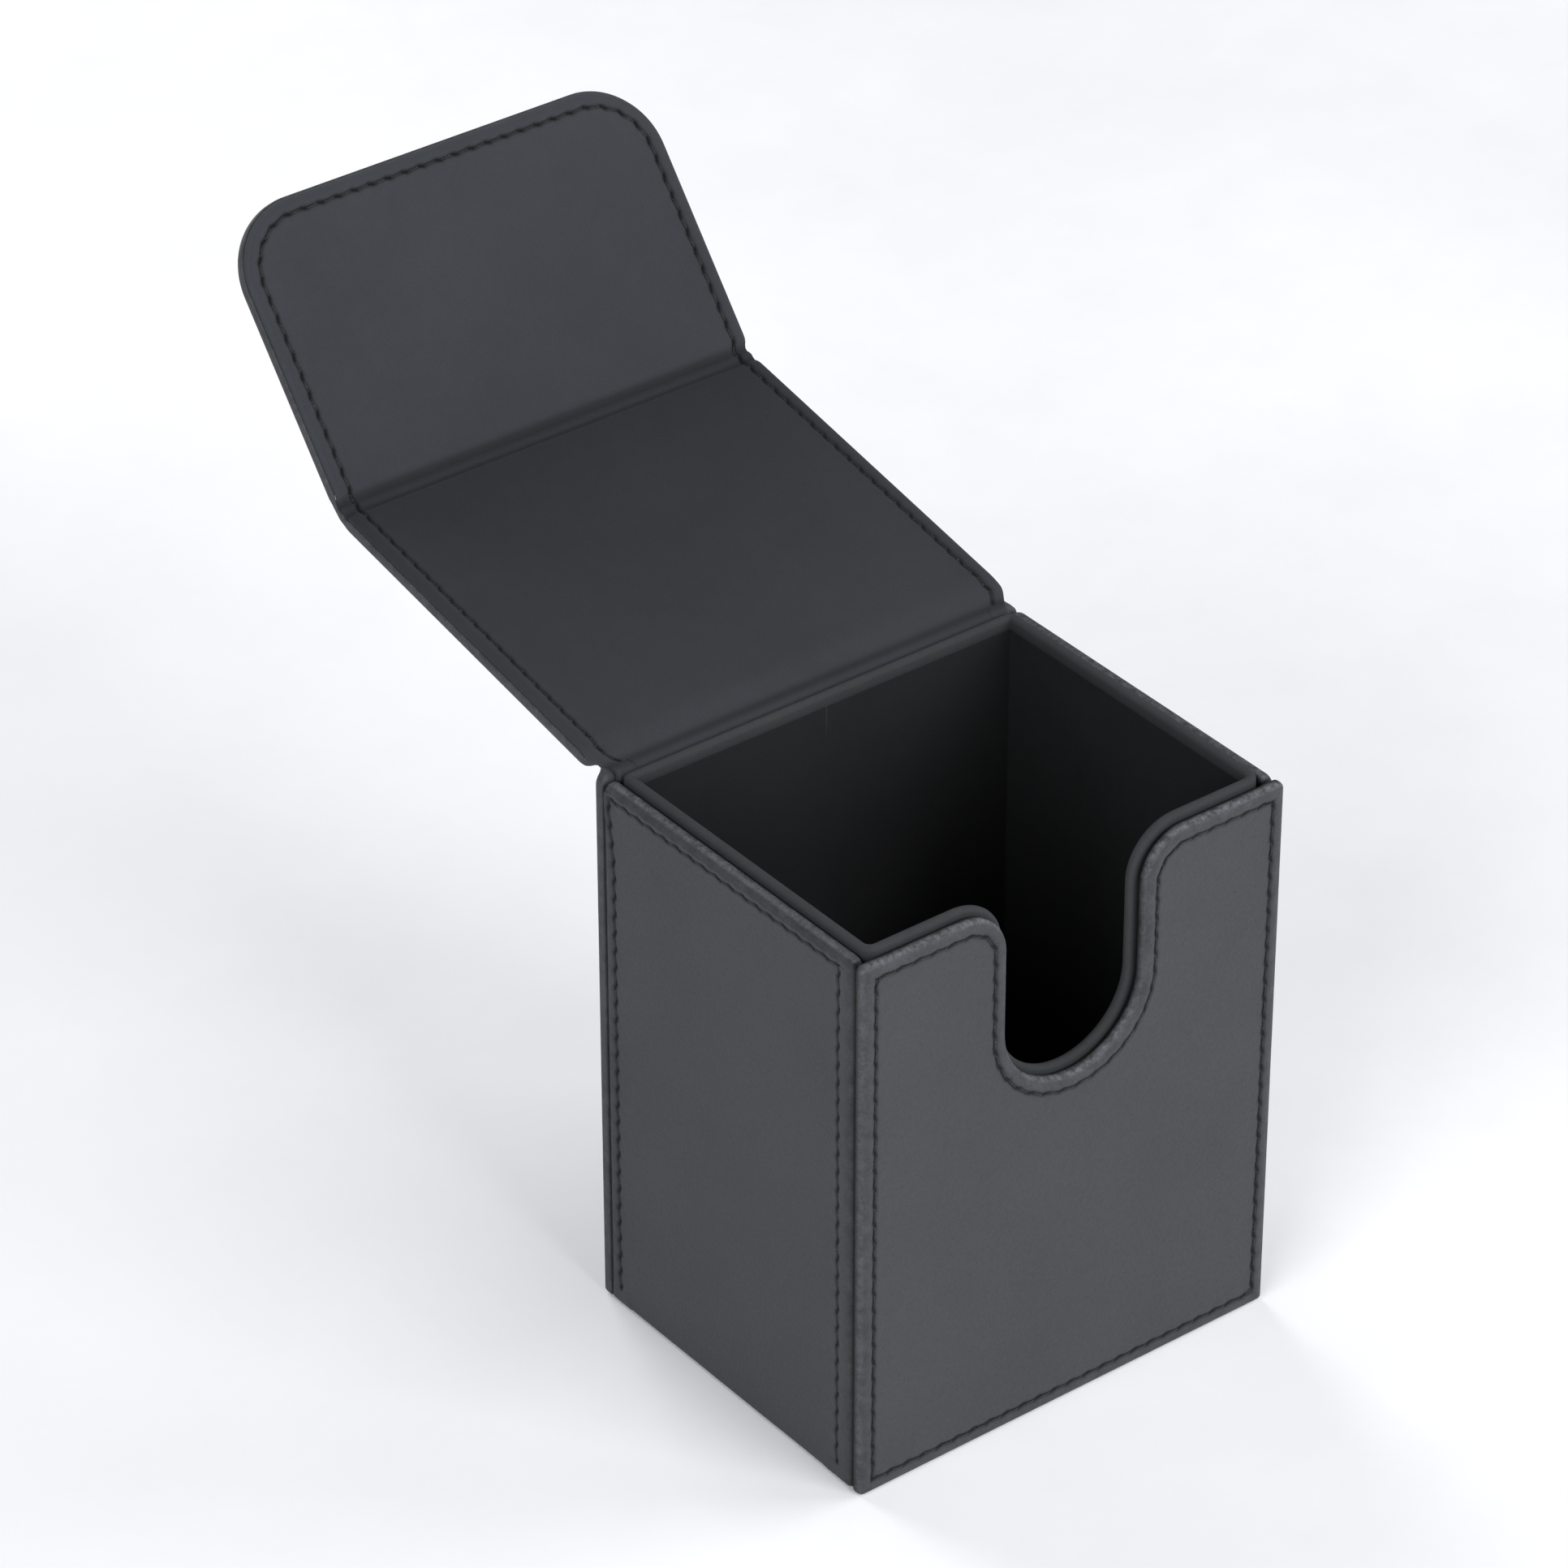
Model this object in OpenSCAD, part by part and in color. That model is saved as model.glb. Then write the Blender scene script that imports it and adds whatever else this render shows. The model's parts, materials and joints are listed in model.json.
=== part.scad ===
// Card deck box: five wrapped board panels around a lined tray, with a lid that swings up and back
// on a leatherette hinge at the rear, and a flap that folds down over the thumb notch at the front.
// Millimetres. Origin at the middle of the underside, +X right, +Y to the rear, +Z up.

/* [Box] */
// Outside width, left to right
box_w = 80; // [74:1:90]
// Outside depth, front to rear
box_d = 65; // [56:1:90]
// Height of the outer panels
box_h = 96.5; // [92:0.5:110]

/* [Panels] */
// Stiff board inside each outer panel
board_t = 1.4; // [1.2:0.1:2]
// Leatherette cover, also where it is turned in
cover_t = 0.4; // [0.3:0.05:0.6]
// Width of the cover's turned-in edge behind a board
turn_in = 10; // [6:1:12]
// Corner radius of the front and rear panels
corner_r = 1; // [0.5:0.25:2]
// Radius of the side panels' upper corners
side_corner_r = 2; // [0.5:0.25:3]

/* [Tray] */
// One lined wall of the inner tray
tray_t = 1.7; // [1.2:0.1:2.2]
// Gap between the tray and the outer panels
tray_gap = 0.2; // [0.1:0.05:0.5]
// How far the tray stands above the outer panels
rim_rise = 1; // [0.5:0.1:2]

/* [Thumb notch] */
// Width of the notch in the front panel
notch_w = 26; // [20:1:32]
// Depth of the notch below the panel's top edge
notch_depth = 35.5; // [28:0.5:44]
// Radius of the shoulders where the notch meets the top edge
shoulder_r = 8; // [5:0.5:10]

/* [Lid and flap] */
// Board inside the lid and the flap
lid_board_t = 1.8; // [1.4:0.1:2.2]
// Lining on the inner face of the lid and the flap
lining_t = 0.4; // [0.3:0.05:0.6]
// Clearance between the closed lid and the tray's rim
lid_gap = 0.2; // [0.1:0.05:0.4]
// Clearance between the closed flap and the front panel
flap_gap = 0.6; // [0.5:0.1:1]
// Length of the flap from the fold to its free edge
flap_l = 49; // [40:1:60]
// Radius of the flap's two free corners
flap_corner_r = 12.5; // [6:0.5:16]
// How far the lid is open, from closed
lid_open = 169; // [90:1:180]
// How far the flap is folded in from the plane of the lid
flap_fold = 40; // [0:1:90]

/* [Stitching] */
// Distance from one stitch to the next
stitch_pitch = 3.2; // [2.8:0.2:5]
// Length of one stitch
stitch_l = 2.5; // [1.6:0.1:2.6]
// Width of the thread
thread_w = 0.5; // [0.3:0.1:0.8]
// How far the thread stands proud of the cover
thread_rise = 0.15; // [0.1:0.05:0.2]
// Distance from the edge of the front, rear, lid or flap to its seam
seam_in = 2.8; // [2.4:0.1:3.6]
// Distance from a side panel's top edge to its seam
side_seam_top = 2.4; // [2:0.1:4]
// Distance from a side panel's front edge to its seam
side_seam_front = 3.8; // [2.4:0.1:4.4]
// Distance from a side panel's rear edge to its seam
side_seam_rear = 2.4; // [1.4:0.1:3]

/* [Magnets] */
// Diameter of one closing magnet
magnet_d = 10; // [6:1:12]
// Thickness of one closing magnet
magnet_t = 1; // [0.6:0.1:1.2]
// Distance between the two magnets of a pair
magnet_pitch = 54; // [50:1:58]
// Distance of the flap's magnets from its free edge
magnet_in = 11; // [8:1:16]

/* [Hidden] */
$fn = 96;
eps = 0.01;
// smallest corner radius where an outline is drawn in further than its own radius
min_r = 0.5;

panel_t = board_t + 2 * cover_t;
top_z = box_h + rim_rise;
wrap_d = box_d - 2 * panel_t;
tail_t = 1.2;

// the tray, inside and out
tray_w = box_w - 2 * (panel_t + tray_gap);
tray_front = -wrap_d / 2 + tray_gap;
tray_rear = wrap_d / 2 - tray_gap - tail_t;
tray_floor = panel_t + tray_t;

// the notch narrows by the rim's rise where the tray follows it
notch_axis_z = box_h - notch_depth + notch_w / 2;
shoulder_z = box_h - shoulder_r;
shoulder_x = notch_w / 2 + shoulder_r;

// lid and flap sections run from the hinge axis: inner face at -axis_in, outer face at skin_out
axis_in = 0.5;
lid_t = lining_t + 2 * cover_t + lid_board_t;
skin_out = lid_t - axis_in;
skin_in = lining_t - axis_in;
nose_r = (skin_out - skin_in) / 2;
nose_z = (skin_out + skin_in) / 2;
neck = 2.2;
groove = 2;
hinge_y = box_d / 2 - 0.1;
hinge_z = top_z + lid_gap + axis_in;
lid_l = hinge_y + box_d / 2 + flap_gap + axis_in;
lining_in = 1;
strip_t = 0.6;

// the flap's magnets below the fold, and where they come to lie on the front panel when the box is shut
magnet_drop = flap_l - magnet_in;
magnet_z = hinge_z - magnet_drop;

// ---- places ----

// drawn in x and height, and built outward from the front face
module on_front() {
    translate([0, -box_d / 2, 0]) rotate([90, 0, 0]) children();
}

// the same on the rear face
module on_rear() {
    translate([0, box_d / 2, 0]) rotate([90, 0, 180]) children();
}

// drawn in depth and height, with the rear towards +X, and built outward from the right face
module on_right() {
    translate([box_w / 2, 0, 0]) rotate([90, 0, 90]) children();
}

// the same on the left face
module on_left() {
    mirror([1, 0, 0]) on_right() children();
}

// origin on the lid's hinge axis, with the lid running towards -Y as it does when shut
module on_lid() {
    translate([0, hinge_y, hinge_z]) rotate([-lid_open, 0, 0]) children();
}

// origin on the fold axis, with the flap running towards -Y
module on_flap() {
    on_lid() translate([0, -lid_l, 0]) rotate([flap_fold, 0, 0]) children();
}

// ---- outlines ----

// rectangle with its bottom edge on the axis and four round corners
module soft_rect(w, h, r) {
    translate([-w / 2 + r, 0]) square([w - 2 * r, h]);
    translate([-w / 2, r]) square([w, h - 2 * r]);
    for (x = [-1, 1], y = [r, h - r]) translate([x * (w / 2 - r), y]) circle(r = r);
}

// the thumb notch, grown all round by grow
module notch_shape(grow) {
    half = notch_w / 2 + grow;
    r = shoulder_r - grow;
    translate([0, notch_axis_z]) circle(r = half);
    translate([-half, notch_axis_z]) square([2 * half, box_h - notch_axis_z + 2 * rim_rise]);
    if (r > eps)
        for (x = [-1, 1]) difference() {
            translate([x * (half + r / 2) - r / 2, shoulder_z]) square([r, r + 2 * rim_rise]);
            translate([x * shoulder_x, shoulder_z]) circle(r = r);
        }
}

// the front panel's outline, drawn in from its edge by inset
module front_shape(inset) {
    difference() {
        translate([0, inset]) soft_rect(box_w - 2 * inset, box_h - 2 * inset, corner_r);
        notch_shape(inset);
    }
}

// the rear panel's outline, drawn in from its edge by inset
module rear_shape(inset) {
    translate([0, inset]) soft_rect(box_w - 2 * inset, box_h - 2 * inset, corner_r);
}

// a side panel's outline with its round upper corners, drawn in from its edge by inset
module side_shape(inset) {
    half = wrap_d / 2 - inset;
    high = box_h - inset;
    r = side_corner_r;
    translate([-half, inset]) square([2 * half, high - r - inset]);
    translate([-half + r, inset]) square([2 * (half - r), high - inset]);
    for (x = [-1, 1]) translate([x * (half - r), high - r]) circle(r = r);
}

// the flap's outline from the groove to its free edge, drawn in by inset
module flap_shape(inset) {
    w = box_w - 2 * inset;
    r = max(min_r, flap_corner_r - inset);
    far = flap_l - inset;
    near = groove + inset;
    translate([-w / 2, -far + r]) square([w, far - r - near]);
    translate([-w / 2 + r, -far]) square([w - 2 * r, r]);
    for (x = [-1, 1]) translate([x * (w / 2 - r), -far + r]) circle(r = r);
}

// the lid's section from its round rear end to the groove, drawn in from the cover's faces by inset
module lid_section(inset) {
    near = neck + nose_r;
    translate([near, nose_z]) circle(r = nose_r - inset);
    translate([near, skin_in + inset])
        square([lid_l - groove - near - inset, 2 * (nose_r - inset)]);
}

// the lid's section run out to a width
module lid_slab(w, inset) {
    rotate([90, 0, -90]) translate([0, 0, -w / 2]) linear_extrude(w) lid_section(inset);
}

// ---- seams: each stitch is a short bar lying on the cover ----

module stitch() {
    translate([-stitch_l / 2, -thread_w / 2]) square([stitch_l, thread_w]);
}

// stitches along a straight line between two points, evenly spaced
module seam_line(from, to) {
    run = norm(to - from);
    count = floor(run / stitch_pitch);
    heading = atan2(to[1] - from[1], to[0] - from[0]);
    for (i = [0:count - 1]) {
        along = (i + 0.5) / count;
        translate(from + along * (to - from)) rotate(heading) stitch();
    }
}

// stitches along an arc
module seam_arc(centre, r, from, to) {
    count = max(1, floor(abs(to - from) * PI / 180 * r / stitch_pitch));
    for (i = [0:count - 1]) {
        a = from + (to - from) * (i + 0.5) / count;
        translate(centre + r * [cos(a), sin(a)]) rotate(a + 90) stitch();
    }
}

// the front panel's seam: round the panel and in and out of the notch
module front_seam() {
    side = box_w / 2 - seam_in;
    low = seam_in;
    high = box_h - seam_in;
    half = notch_w / 2 + seam_in;
    r = shoulder_r - seam_in;
    seam_line([-side, low], [side, low]);
    for (x = [-1, 1]) {
        seam_line([x * side, low], [x * side, high]);
        seam_line([x * side, high], [x * shoulder_x, high]);
        seam_line([x * half, shoulder_z], [x * half, notch_axis_z]);
        seam_arc([x * shoulder_x, shoulder_z], r, 90, 90 + x * 90);
    }
    seam_arc([0, notch_axis_z], half, 180, 360);
}

// a side panel's seam: along the top, the front and the rear, with the rear towards +X
module side_seam() {
    front = -wrap_d / 2 + side_seam_front;
    rear = wrap_d / 2 - side_seam_rear;
    high = box_h - side_seam_top;
    seam_line([front, high], [rear, high]);
    for (y = [front, rear]) seam_line([y, panel_t], [y, high]);
}

// the rear panel's seam: both sides and the bottom
module rear_seam() {
    side = box_w / 2 - seam_in;
    seam_line([-side, seam_in], [side, seam_in]);
    for (x = [-1, 1]) seam_line([x * side, seam_in], [x * side, box_h - corner_r]);
}

// the lid's seam: both side edges
module lid_seam() {
    side = box_w / 2 - seam_in;
    for (x = [-1, 1]) seam_line([x * side, -neck - 2 * nose_r], [x * side, -lid_l + groove]);
}

// the flap's seam: both sides, the free edge and its round corners
module flap_seam() {
    side = box_w / 2 - seam_in;
    far = flap_l - seam_in;
    r = flap_corner_r - seam_in;
    seam_line([-side + r, -far], [side - r, -far]);
    for (x = [-1, 1]) {
        seam_line([x * side, -groove], [x * side, -far + r]);
        seam_arc([x * (side - r), -far + r], r, -90, -90 + x * 90);
    }
}

// the same seam on both faces of the lid or the flap
module both_faces() {
    translate([0, 0, skin_out]) linear_extrude(thread_rise) children();
    translate([0, 0, -axis_in - thread_rise]) linear_extrude(thread_rise) children();
}

// ---- the outer panels ----

module front_board() {
    color("burlywood") difference() {
        on_front() translate([0, 0, -cover_t - board_t]) linear_extrude(board_t) front_shape(cover_t);
        front_magnet_seats();
    }
}

// round seats sunk into the front board from behind
module front_magnet_seats() {
    for (x = [-1, 1]) on_front()
        translate([x * magnet_pitch / 2, magnet_z, -cover_t - board_t]) cylinder(d = magnet_d, h = magnet_t);
}

module front_magnets() {
    color("silver") front_magnet_seats();
}

// leatherette over the front board, turned in behind it all round and along the notch
module front_cover() {
    color("dimgray") on_front() difference() {
        translate([0, 0, -panel_t]) linear_extrude(panel_t) front_shape(0);
        translate([0, 0, -cover_t - board_t]) linear_extrude(board_t) front_shape(cover_t);
        translate([0, 0, -panel_t - eps]) linear_extrude(cover_t + 2 * eps) front_shape(turn_in);
    }
}

module rear_board() {
    color("burlywood") on_rear() translate([0, 0, -cover_t - board_t]) linear_extrude(board_t)
        rear_shape(cover_t);
}

// the rear stretch of the long cover that goes on over the lid and the flap
module rear_cover() {
    color("dimgray") on_rear() difference() {
        translate([0, 0, -panel_t]) linear_extrude(panel_t) rear_shape(0);
        translate([0, 0, -cover_t - board_t]) linear_extrude(board_t) rear_shape(cover_t);
        translate([0, 0, -panel_t - eps]) linear_extrude(cover_t + 2 * eps) rear_shape(turn_in);
    }
}

module side_board() {
    translate([0, 0, -cover_t - board_t]) linear_extrude(board_t) side_shape(cover_t);
}

module left_board() {
    color("burlywood") on_left() side_board();
}

module right_board() {
    color("burlywood") on_right() side_board();
}

module base_board() {
    w = box_w - 2 * (panel_t + cover_t);
    color("burlywood") translate([-w / 2, -wrap_d / 2 + cover_t, cover_t])
        cube([w, wrap_d - 2 * cover_t, board_t]);
}

// leatherette over a side board, turned in behind it. It is the same piece as the base's cover,
// which runs on from its foot
module side_cover() {
    difference() {
        translate([0, 0, -panel_t]) linear_extrude(panel_t) side_shape(0);
        side_board();
        translate([0, 0, -panel_t - eps]) linear_extrude(cover_t + 2 * eps) side_shape(turn_in);
    }
}

module left_cover() {
    color("dimgray") on_left() side_cover();
}

module right_cover() {
    color("dimgray") on_right() side_cover();
}

module base_cover() {
    w = box_w - 2 * panel_t;
    window_w = w - 2 * turn_in;
    window_d = wrap_d - 2 * turn_in;
    color("dimgray") difference() {
        translate([-w / 2, -wrap_d / 2, 0]) cube([w, wrap_d, panel_t]);
        base_board();
        translate([-window_w / 2, -window_d / 2, cover_t + board_t - eps])
            cube([window_w, window_d, cover_t + 2 * eps]);
    }
}

// ---- the lined tray ----

module tray_front_wall() {
    color("#2b2d30") translate([0, tray_front + tray_t, 0]) rotate([90, 0, 0]) linear_extrude(tray_t)
        difference() {
            translate([-tray_w / 2, tray_floor]) square([tray_w, top_z - tray_floor]);
            notch_shape(-rim_rise);
        }
}

module tray_side_wall(side) {
    translate([side * (tray_w - tray_t) / 2 - tray_t / 2, tray_front + tray_t, tray_floor])
        cube([tray_t, tray_rear - tray_front - 2 * tray_t, top_z - tray_floor]);
}

module tray_left_wall() {
    color("#2b2d30") tray_side_wall(-1);
}

module tray_right_wall() {
    color("#2b2d30") tray_side_wall(1);
}

module tray_rear_wall() {
    color("#2b2d30") translate([-tray_w / 2, tray_rear - tray_t, tray_floor])
        cube([tray_w, tray_t, top_z - tray_floor]);
}

module tray_floor_board() {
    color("#2b2d30") translate([-tray_w / 2, tray_front, panel_t])
        cube([tray_w, tray_rear - tray_front, tray_t]);
}

// ---- the hinge at the rear ----

// a point of the lid's section, turned to where the open lid holds it
function lid_point(out, up) = [
    hinge_y - out * cos(lid_open) + up * sin(lid_open),
    hinge_z + out * sin(lid_open) + up * cos(lid_open)
];

// a strip whose section joins points in depth and height, run across the width
module cross_strip(w, section) {
    rotate([90, 0, 90]) translate([0, 0, -w / 2]) linear_extrude(w) polygon(section);
}

// the lid lining's tail, glued down between the rear panel and the tray
module hinge_tail() {
    tail_l = 25;
    color("#2b2d30") translate([-tray_w / 2, wrap_d / 2 - tail_t, box_h - tail_l])
        cube([tray_w, tail_t, tail_l]);
}

module hinge_cover() {
    outer = box_d / 2;
    color("dimgray") cross_strip(box_w, [
        [outer, box_h], [outer - strip_t, box_h],
        lid_point(neck, nose_z), lid_point(neck, nose_z + strip_t)
    ]);
}

module hinge_lining() {
    outer = box_d / 2 - strip_t;
    color("#2b2d30") cross_strip(tray_w, [
        [outer, box_h], [outer - strip_t, box_h],
        lid_point(neck, nose_z - strip_t), lid_point(neck, nose_z)
    ]);
}

// ---- the lid ----

module lid_board() {
    color("burlywood") on_lid() lid_slab(box_w - 2 * cover_t, cover_t);
}

module lid_cover() {
    near = neck + 2 * nose_r + turn_in;
    window_l = lid_l - groove - turn_in - near;
    color("dimgray") on_lid() difference() {
        lid_slab(box_w, 0);
        lid_slab(box_w - 2 * cover_t, cover_t);
        translate([-box_w / 2 + turn_in, -near - window_l, skin_in - eps])
            cube([box_w - 2 * turn_in, window_l, cover_t + 2 * eps]);
    }
}

module lid_lining() {
    w = box_w - 2 * lining_in;
    near = neck + nose_r;
    run = lid_l - groove - near;
    color("#2b2d30") on_lid() translate([-w / 2, -near - run, -axis_in]) cube([w, run, lining_t]);
}

module lid_stitching() {
    color("black") on_lid() both_faces() lid_seam();
}

// ---- the fold between lid and flap ----

// a point of the flap's section, seen from the lid's fold axis
function flap_point(out, up) = [
    -out * cos(flap_fold) - up * sin(flap_fold),
    -out * sin(flap_fold) + up * cos(flap_fold)
];

module fold_strip(w, low, high) {
    on_lid() translate([0, -lid_l, 0]) cross_strip(w, [
        [groove, high], [groove, low], flap_point(groove, low), flap_point(groove, high)
    ]);
}

module fold_cover() {
    color("dimgray") fold_strip(box_w, skin_out - strip_t, skin_out);
}

module fold_lining() {
    color("#2b2d30") fold_strip(box_w - 2 * lining_in, skin_out - 2 * strip_t, skin_out - strip_t);
}

// ---- the flap ----

module flap_board() {
    color("burlywood") difference() {
        on_flap() translate([0, 0, skin_in + cover_t]) linear_extrude(lid_board_t) flap_shape(cover_t);
        flap_magnet_seats();
    }
}

// round seats sunk into the flap's board from its inner face
module flap_magnet_seats() {
    for (x = [-1, 1]) on_flap()
        translate([x * magnet_pitch / 2, -magnet_drop, skin_in + cover_t])
            cylinder(d = magnet_d, h = magnet_t);
}

module flap_magnets() {
    color("silver") flap_magnet_seats();
}

module flap_cover() {
    color("dimgray") on_flap() difference() {
        translate([0, 0, skin_in]) linear_extrude(2 * nose_r) flap_shape(0);
        translate([0, 0, skin_in + cover_t]) linear_extrude(lid_board_t) flap_shape(cover_t);
        translate([0, 0, skin_in - eps]) linear_extrude(cover_t + 2 * eps) flap_shape(turn_in);
    }
}

module flap_lining() {
    color("#2b2d30") on_flap() translate([0, 0, -axis_in]) linear_extrude(lining_t) intersection() {
        flap_shape(0);
        translate([0, lining_in]) flap_shape(lining_in);
    }
}

module flap_stitching() {
    color("black") on_flap() both_faces() flap_seam();
}

// ---- seams on the outer panels ----

module front_stitching() {
    color("black") on_front() linear_extrude(thread_rise) front_seam();
}

module left_stitching() {
    color("black") on_left() linear_extrude(thread_rise) side_seam();
}

module right_stitching() {
    color("black") on_right() linear_extrude(thread_rise) side_seam();
}

module rear_stitching() {
    color("black") on_rear() linear_extrude(thread_rise) rear_seam();
}

front_board();
left_board();
right_board();
rear_board();
base_board();
front_cover();
left_cover();
right_cover();
rear_cover();
base_cover();
tray_front_wall();
tray_left_wall();
tray_right_wall();
tray_rear_wall();
tray_floor_board();
hinge_tail();
front_magnets();
front_stitching();
left_stitching();
right_stitching();
rear_stitching();
hinge_cover();
hinge_lining();
lid_board();
lid_cover();
lid_lining();
lid_stitching();
fold_cover();
fold_lining();
flap_board();
flap_cover();
flap_lining();
flap_magnets();
flap_stitching();
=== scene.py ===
"""Looks for the card deck box: wrapped panels, lined tray, lid and flap, topstitching, floor and light.

Sizes are in millimetres until a point is placed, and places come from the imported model."""

import json
import math

import bmesh
import bpy
import numpy as np
from mathutils import Matrix, Vector, noise
from mathutils.geometry import delaunay_2d_cdt


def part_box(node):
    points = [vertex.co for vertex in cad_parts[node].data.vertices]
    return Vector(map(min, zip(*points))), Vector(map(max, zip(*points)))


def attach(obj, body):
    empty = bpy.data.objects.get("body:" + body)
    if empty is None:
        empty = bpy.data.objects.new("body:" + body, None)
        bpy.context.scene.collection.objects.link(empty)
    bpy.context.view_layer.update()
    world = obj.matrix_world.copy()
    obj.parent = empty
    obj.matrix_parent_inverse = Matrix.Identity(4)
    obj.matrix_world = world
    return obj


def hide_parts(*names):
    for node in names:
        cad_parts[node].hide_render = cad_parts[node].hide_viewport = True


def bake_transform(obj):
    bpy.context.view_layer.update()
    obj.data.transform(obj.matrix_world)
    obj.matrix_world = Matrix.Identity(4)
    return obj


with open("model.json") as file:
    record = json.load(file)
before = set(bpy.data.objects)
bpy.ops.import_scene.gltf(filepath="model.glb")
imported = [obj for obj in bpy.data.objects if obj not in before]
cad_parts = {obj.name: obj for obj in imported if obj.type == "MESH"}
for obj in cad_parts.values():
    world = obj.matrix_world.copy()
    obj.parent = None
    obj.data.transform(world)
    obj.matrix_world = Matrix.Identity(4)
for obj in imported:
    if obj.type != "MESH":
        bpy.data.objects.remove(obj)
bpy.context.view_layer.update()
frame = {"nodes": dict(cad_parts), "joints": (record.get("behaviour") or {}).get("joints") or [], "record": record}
MM = 0.001
RNG = np.random.default_rng(7)


def node_box(name):
    """A CAD node's lowest and highest corner in millimetres."""
    low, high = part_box(name)
    return np.array(low) / MM, np.array(high) / MM


def joint_place(name):
    """Depth and height of a joint's axis in millimetres."""
    joint = next(j for j in frame["joints"] if j["name"] == name)
    return np.array(joint["pos_m"][1:]) / MM


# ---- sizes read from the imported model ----

front_low, front_high = node_box("front_cover")
rear_low, rear_high = node_box("rear_cover")
BOX_W = front_high[0] - front_low[0]
BOX_H = front_high[2]
FRONT_Y, REAR_Y = front_low[1], rear_high[1]
PANEL_T = front_high[1] - front_low[1]
SIDE_FRONT, SIDE_REAR = front_high[1], rear_low[1]
TRAY_FRONT = node_box("tray_front_wall")[0][1]
TRAY_REAR = node_box("tray_rear_wall")[1][1]
TRAY_X = node_box("tray_right_wall")[1][0]
TRAY_T = TRAY_X - node_box("tray_right_wall")[0][0]
TRAY_FLOOR, RIM_Z = node_box("tray_left_wall")[0][2], node_box("tray_left_wall")[1][2]
HINGE, FOLD = joint_place("lid_hinge"), joint_place("flap_fold")
HALF_W = BOX_W / 2
LID_L = float(np.linalg.norm(FOLD - HINGE))
LID_DIR = (FOLD - HINGE) / LID_L
FLAP_ANGLE = math.radians(129)  # at rest, turned back from pointing forwards, where the lid is at 169
FLAP_DIR = np.array([-math.cos(FLAP_ANGLE), math.sin(FLAP_ANGLE)])
FLAP_L = 49.0

# ---- shape of the wrapped pieces ----

STEP = 0.55  # between the points of an outline
NOTCH_HALF, NOTCH_BOTTOM, SHOULDER_R = 13.0, 61.0, 8.0
TRAY_NOTCH_IN = 1.0  # by how much the tray's notch is narrower and shallower
SEAM_IN, FRONT_SEAM_IN = 2.8, 2.4  # from a panel's edge to its seam
PITCH, STITCH_L, THREAD_R = 3.2, 2.45, 0.16
LINING_INSET = 0.35  # from the cover's edge to the lining's
# heights over the hinge's plane of the lid's outer face, of the glue line inside and of the lining's face
SKIN_OUT, LAYER_Z, LINING_Z = 2.5, 0.27, -0.5
CUT_OUT = 5.5  # from the hinge's axis to the cut that parts the rear's pieces from the lid's
FLAP_CORNER_R = 12.5
CALM = 6.0  # over which the ripple fades out towards a cut
DEEP_INSIDE = 20.0  # said of points far from any edge


def smoothstep(x):
    x = np.clip(x, 0, 1)
    return x * x * (3 - 2 * x)


def bell(x, width):
    return np.exp(-((x / width) ** 2))


# ---- lines ----


def rounded(corners, closed=True, step=STEP):
    """Points along a polygon with round corners, given as (x, y, radius), and the direction to its right.
    A closed polygon runs counterclockwise, so that its right side is the outside."""
    n = len(corners)
    at = np.array([c[:2] for c in corners], float)
    points, right = [], []

    def add(p, heading):
        if not points or np.linalg.norm(points[-1] - p) > 1e-4:
            points.append(p)
            right.append(np.array([heading[1], -heading[0]]))

    def turn(i):
        """Entry point, exit point and the arc's samples at corner i."""
        before, after = at[i] - at[i - 1], at[(i + 1) % n] - at[i]
        a, b = before / np.linalg.norm(before), after / np.linalg.norm(after)
        cross = a[0] * b[1] - a[1] * b[0]
        angle = math.atan2(cross, float(a @ b))
        r = corners[i][2]
        reach = r * math.tan(abs(angle) / 2)
        start = at[i] - a * reach
        side = math.copysign(1, angle)
        centre = start + side * r * np.array([-a[1], a[0]])
        count = max(6, int(math.ceil(abs(angle) * r / step)))
        spoke, arc = start - centre, []
        for k in range(count + 1):
            t = angle * k / count
            c, s = math.cos(t), math.sin(t)
            heading = np.array([a[0] * c - a[1] * s, a[0] * s + a[1] * c])
            arc.append((centre + [spoke[0] * c - spoke[1] * s, spoke[0] * s + spoke[1] * c], heading))
        return arc

    arcs = []
    for i in range(n):
        if not closed and i in (0, n - 1):
            along = at[1] - at[0] if i == 0 else at[-1] - at[-2]
            arcs.append([(at[i], along / np.linalg.norm(along))])
        else:
            arcs.append(turn(i))
    for i, arc in enumerate(arcs):
        for p, heading in arc:
            add(p, heading)
        if not closed and i == n - 1:
            break
        start, stop = arc[-1][0], arcs[(i + 1) % n][0][0]
        run = np.linalg.norm(stop - start)
        count = int(math.ceil(run / step))
        for k in range(1, count):
            add(start + (stop - start) * k / count, (stop - start) / run)
    if closed and np.linalg.norm(points[0] - points[-1]) < 1e-4:
        points.pop()
        right.pop()
    return np.array(points), np.array(right)


def lengths(points):
    """Distance along a line at each of its points."""
    return np.concatenate([[0], np.cumsum(np.linalg.norm(np.diff(points, axis=0), axis=1))])


def smooth_line(points, per_span=8):
    """A Catmull-Rom curve through the points."""
    p = np.array(points, float)
    p = np.vstack([2 * p[0] - p[1], p, 2 * p[-1] - p[-2]])
    out = []
    for i in range(1, len(p) - 2):
        for k in range(per_span):
            t = k / per_span
            a, b, c, d = p[i - 1], p[i], p[i + 1], p[i + 2]
            out.append(0.5 * (2 * b + (c - a) * t + (2 * a - 5 * b + 4 * c - d) * t**2
                              + (3 * b - a - 3 * c + d) * t**3))
    out.append(p[-2])
    return np.array(out)


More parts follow.
